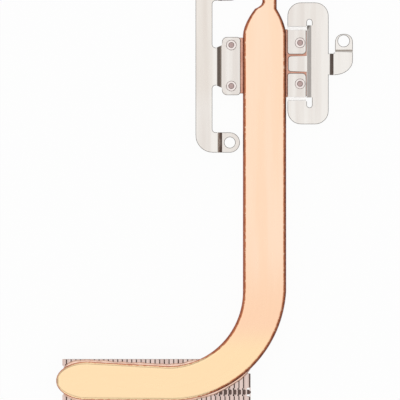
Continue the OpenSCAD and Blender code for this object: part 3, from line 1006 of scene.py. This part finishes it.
@dataclass
class HeatPipe:
    """The flattened pipe with its wick, and the solder that holds it.

    Attributes:
        stack: lowest and highest x and y of the fin stack, in millimetres.
        plate_z: level of the plate's top and of the fins' tops.
        clear: least distance of a seam's points from the stack's back.
        inset: least distance of the solder from the stack's front and back.
    """

    stack: tuple[float, float, float, float] = (-53.26, -88.13, -3.7, -77.13)
    plate_z: float = 1.2
    clear: float = 0.1
    inset: float = 0.02

    def over_fins(self, side: int) -> list[Vector]:
        """Gives the part of one pipe edge that lies over the fins.

        Args:
            side: 1 for the outer edge, -1 for the inner edge.

        Returns:
            The points.
        """
        low_x, low_y, high_x, high_y = self.stack
        return [
            p for p in PATH.edge(side)
            if low_x < p.x < high_x and low_y < p.y < high_y - self.clear
        ]

    def fin_seams(self) -> list[SolderSeam]:
        """Gives the seams that hold the pipe on the fins.

        Returns:
            The front seam and the back seam.
        """
        low_x, low_y, high_x, high_y = self.stack
        limit = (low_x, low_y + self.inset, high_x, high_y - self.inset)
        return [
            SolderSeam(name, self.over_fins(side), side, self.plate_z, limit)
            for side, name in ((1, "solder_front"), (-1, "solder_back"))
        ]

    def build(self, frame: dict) -> list[bpy.types.Object]:
        """Makes the pipe, dresses the wick and lays the seams.


        Returns:
            The new pieces.
        """
        copper = PIPE_COPPER.build()
        solder = SOLDER.build()
        dress(frame["nodes"]["pipe_wick"], WICK_COPPER.build())
        pipe = SoftenedPart("heat_pipe", "pipe_copper", copper, edge_mm=0.0).build(frame)
        return [pipe] + [seam.build(solder) for seam in self.fin_seams()]


@dataclass
class ProcessorPlate:
    """The copper base plate with its four rivets.

    Attributes:
        rivets: the rivets' nodes.
        plate_edge_mm: width of the plate's rolled edge.
        rivet_edge_mm: width of a rivet's rolled edge.
        rivet_sharp_deg: angle from which an edge of a rivet is rolled.
    """

    rivets: tuple[str, ...] = (
        "rivet_left_upper", "rivet_left_lower", "rivet_right_upper", "rivet_right_lower",
    )
    plate_edge_mm: float = 0.12
    rivet_edge_mm: float = 0.05
    rivet_sharp_deg: float = 40.0

    def build(self, frame: dict) -> list[bpy.types.Object]:
        """Makes the plate and the rivets.


        Returns:
            The new pieces.
        """
        plate = SoftenedPart("base_plate", "plate_copper", PLATE_COPPER.build(),
                             PLATE_EDGE.build(), self.plate_edge_mm)
        tin = RIVET_TIN.build()
        made = [plate.build(frame)]
        for name in self.rivets:
            rivet = SoftenedPart(name, "rivet_metal", tin, edge_mm=self.rivet_edge_mm,
                                 sharp_deg=self.rivet_sharp_deg)
            made.append(rivet.build(frame))
        return made


@dataclass
class SpringBrackets:
    """The two folded sheets that press the plate down.

    Attributes:
        names: the brackets' nodes.
        edge_mm: width of their rolled edges.
    """

    names: tuple[str, ...] = ("left_bracket", "right_bracket")
    edge_mm: float = 0.13

    def build(self, frame: dict) -> list[bpy.types.Object]:
        """Makes both brackets.


        Returns:
            The new pieces.
        """
        steel = SPRING_STEEL.build()
        edge = STEEL_EDGE.build()
        return [
            SoftenedPart(name, "spring_steel", steel, edge, self.edge_mm).build(frame)
            for name in self.names
        ]


@dataclass
class FinStack:
    """The row of interlocked fins, which keep their CAD shape.

    Attributes:
        count: number of fins.
    """

    count: int = FIN_COUNT

    def build(self, frame: dict) -> None:
        """Dresses each fin.
        """
        metal = FIN_METAL.build()
        for number in range(1, self.count + 1):
            dress(frame["nodes"][f"fin_{number:02d}"], metal)


# Table, light and camera

@dataclass(frozen=True)
class Sky:
    """The studio's light: a bright cap overhead, a dimmer ring, and a horizon with a dark side.

    A span is the part of a direction along dark_side where a tone gives way to the next.

    Attributes:
        dark_side: direction of the dark side, seen from above.
        dark_span: where the horizon darkens towards the dark side.
        dark_share: share of the horizon's light that is left there.
        grey_span: where the horizon brightens from the grey side, which is opposite.
        grey_share: share of the horizon's light on the grey side.
        horizon_light: the horizon's light.
        ring_span: where the ring darkens towards the dark side.
        ring_light: the ring's light before that, and past it.
        ring_z: upward part of a direction where the horizon ends and where the ring is full.
        cap_z: upward part of a direction where the ring ends and where the cap is full.
        cap_light: the cap's light.
    """

    dark_side: tuple[float, float] = (0.94, -0.34)
    dark_span: tuple[float, float] = (0.35, 0.72)
    dark_share: float = 0.24
    grey_span: tuple[float, float] = (-0.75, -0.35)
    grey_share: float = 0.42
    horizon_light: float = 1.18
    ring_span: tuple[float, float] = (0.3, 0.8)
    ring_light: tuple[float, float] = (0.5, 0.4)
    ring_z: tuple[float, float] = (0.34, 0.5)
    cap_z: tuple[float, float] = (0.66, 0.86)
    cap_light: float = 1.01

    def build(self) -> None:
        """Makes the world, which the camera sees as plain white."""
        world = bpy.data.worlds.new("studio")
        world.use_nodes = True
        bpy.context.scene.world = world
        tree = world.node_tree
        tree.nodes.clear()
        strength = self.strength(tree)
        path = put(tree, "LightPath").outputs
        light = put(tree, "Background", {"Color": WHITE, "Strength": strength})
        white = put(tree, "Background", {"Color": WHITE, "Strength": 1.0})
        both = put(tree, "MixShader", (path["Is Camera Ray"], light, white))
        put(tree, "OutputWorld", {"Surface": both})

    def strength(self, tree: Tree) -> Node:
        """Adds the strength of the light from each direction.

        Args:
            tree: the world's node tree.

        Returns:
            The strength.
        """
        way = put(tree, "TexCoord").outputs["Generated"]
        parts = put(tree, "SeparateXYZ", (way,)).outputs
        side_x = put(tree, "Math", (parts["X"], self.dark_side[0]), operation="MULTIPLY")
        side_y = put(tree, "Math", (parts["Y"], self.dark_side[1]), operation="MULTIPLY")
        side = put(tree, "Math", (side_x, side_y), operation="ADD")
        dark = put(tree, "MapRange", (side, *self.dark_span, 1.0, self.dark_share), **EASED)
        grey = put(tree, "MapRange", (side, *self.grey_span, self.grey_share, 1.0), **EASED)
        shares = put(tree, "Math", (dark, grey), operation="MULTIPLY")
        horizon = put(tree, "Math", (shares, self.horizon_light), operation="MULTIPLY")
        ring = put(tree, "MapRange", (side, *self.ring_span, *self.ring_light), **EASED)
        level = self.stacked(tree, parts["Z"], self.ring_z, horizon, ring)
        return self.stacked(tree, parts["Z"], self.cap_z, level, self.cap_light)

    def stacked(
        self,
        tree: Tree,
        height: Socket,
        limits: tuple[float, float],
        lower: Node,
        upper: Node | float,
    ) -> Node:
        """Adds one light above another.

        Args:
            tree: the world's node tree.
            height: upward part of the direction.
            limits: where the lower light ends, and where the upper one is full.
            lower: strength of the lower light.
            upper: strength of the upper light.

        Returns:
            The strength of both.
        """
        share = put(tree, "MapRange", (height, *limits), **EASED)
        left = put(tree, "Math", (1.0, share), operation="SUBTRACT")
        above = put(tree, "Math", (share, upper), operation="MULTIPLY")
        below = put(tree, "Math", (left, lower), operation="MULTIPLY")
        return put(tree, "Math", (above, below), operation="ADD")


@dataclass
class Studio:
    """A white table, a soft lamp overhead and the camera.

    Attributes:
        view_width_mm: what the picture spans at the pipe's top.
        distance_mm: from the camera to the pipe's top.
        middle_mm: the point below the camera.
        sensor_mm: width of the camera's sensor.
        table_mm: length of the table's side.
        ear_mm: y and z of the lower edge that rests on the table at the top.
        stack_mm: lowest and highest x and y of what lies in the shade of the fins.
        shade_mm: width over which that shade ends.
        own_light: share of the table's own light in what the camera sees of it.
        mirrored: the table's light as the metal mirrors it.
        lamp_at: from the point below the camera to the lamp, in metres.
        lamp_size: the lamp's width, in metres.
        lamp_power: the lamp's power, in watts.
    """

    view_width_mm: float = 105.3
    distance_mm: float = 3000.0
    middle_mm: tuple[float, float, float] = (-17.0, -35.15, 3.0)
    sensor_mm: float = 36.0
    table_mm: float = 6000.0
    ear_mm: tuple[float, float] = (22.65, 0.4)
    stack_mm: tuple[float, float, float, float] = (-53.0, -88.0, -4.7, -77.4)
    shade_mm: float = 0.4
    own_light: float = 0.95
    mirrored: float = 0.9
    lamp_at: tuple[float, float, float] = (-0.35, 0.3, 1.0)
    lamp_size: float = 0.9
    lamp_power: float = 0.3

    def table(self) -> None:
        """Makes the table, tilted so that the part rests on it."""
        low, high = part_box("fin_01")
        ear_y, ear_z = (value * MM for value in self.ear_mm)
        tilt = math.atan2(ear_z - low.z, ear_y - high.y)
        shape = bmesh.new()
        bmesh.ops.create_grid(shape, x_segments=1, y_segments=1, size=self.table_mm * MM / 2)
        turn = Matrix.Rotation(tilt, 3, "X")
        bmesh.ops.rotate(shape, verts=shape.verts, cent=(0, 0, 0), matrix=turn)
        bmesh.ops.translate(shape, verts=shape.verts, vec=(0, high.y, low.z))
        table = new_piece("table", shape)
        dress(table, self.paper())

    def paper(self) -> bpy.types.Material:
        """Makes the table's white paper, most of whose light is its own.

        Returns:
            The material.
        """
        material = blank_material("matt_white_paper")
        tree = material.node_tree
        path = put(tree, "LightPath").outputs
        rays = (path["Is Camera Ray"], path["Is Transmission Ray"])
        seen = put(tree, "Math", rays, operation="MAXIMUM")
        share = put(tree, "Math", (seen, self.own_light), operation="MULTIPLY")
        matt = put(tree, "BsdfDiffuse", {"Color": linear("f6f6f4")})
        white = put(tree, "Emission", {"Color": WHITE, "Strength": self.shade(tree)})
        mixed = put(tree, "MixShader", (share, matt, white))
        faint = put(tree, "Emission", {"Color": WHITE, "Strength": self.mirrored})
        whole = put(tree, "MixShader", (path["Is Glossy Ray"], mixed, faint))
        put(tree, "OutputMaterial", {"Surface": whole})
        return material

    def shade(self, tree: Tree) -> Node:
        """Adds the paper's own light, which is put out below the fins.

        Args:
            tree: the paper's node tree.

        Returns:
            0 below the fins and 1 elsewhere.
        """
        place = put(tree, "TexCoord").outputs["Object"]
        parts = put(tree, "SeparateXYZ", (place,)).outputs
        low_x, low_y, high_x, high_y = (value * MM for value in self.stack_mm)
        soft = self.shade_mm * MM
        inside = 1.0
        for value, low, high in ((parts["X"], low_x, high_x), (parts["Y"], low_y, high_y)):
            for edges in ((low, low + soft), (high - soft, high, 1.0, 0.0)):
                past = put(tree, "MapRange", (value, *edges), **EASED)
                inside = put(tree, "Math", (inside, past), operation="MULTIPLY")
        return put(tree, "Math", (1.0, inside), operation="SUBTRACT")

    def lamp(self) -> None:
        """Hangs the soft lamp, which points at the middle of the picture."""
        middle = Vector(self.middle_mm) * MM
        place = middle + Vector(self.lamp_at)
        data = bpy.data.lights.new("soft_lamp", "AREA")
        data.size = self.lamp_size
        data.energy = self.lamp_power
        lamp = bpy.data.objects.new("soft_lamp", data)
        lamp.location = place
        lamp.rotation_mode = "QUATERNION"
        lamp.rotation_quaternion = (middle - place).to_track_quat("-Z", "Y")
        lamp.visible_camera = False
        bpy.context.scene.collection.objects.link(lamp)

    def camera(self) -> None:
        """Places the camera, which looks straight down."""
        data = bpy.data.cameras.new("camera")
        data.sensor_width = self.sensor_mm
        data.lens = self.sensor_mm * self.distance_mm / self.view_width_mm
        camera = bpy.data.objects.new("camera", data)
        camera.location = (Vector(self.middle_mm) + Vector((0, 0, self.distance_mm))) * MM
        bpy.context.scene.collection.objects.link(camera)
        bpy.context.scene.camera = camera

    def build(self) -> None:
        """Sets up the whole studio."""
        bpy.context.scene.view_settings.view_transform = "Standard"
        self.camera()
        self.table()
        Sky().build()
        self.lamp()


def main() -> None:
    """Builds the heatsink's visible pieces and the studio round them."""
    logging.basicConfig(level=logging.INFO, format="%(name)s: %(message)s")
    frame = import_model()
    for part in (HeatPipe(), ProcessorPlate(), SpringBrackets()):
        for piece in part.build(frame):
            LOG.info("made %s", piece.name)
    FinStack().build(frame)
    LOG.info("dressed %d fins", FIN_COUNT)
    Studio().build()


if __name__ == "__main__":
    main()
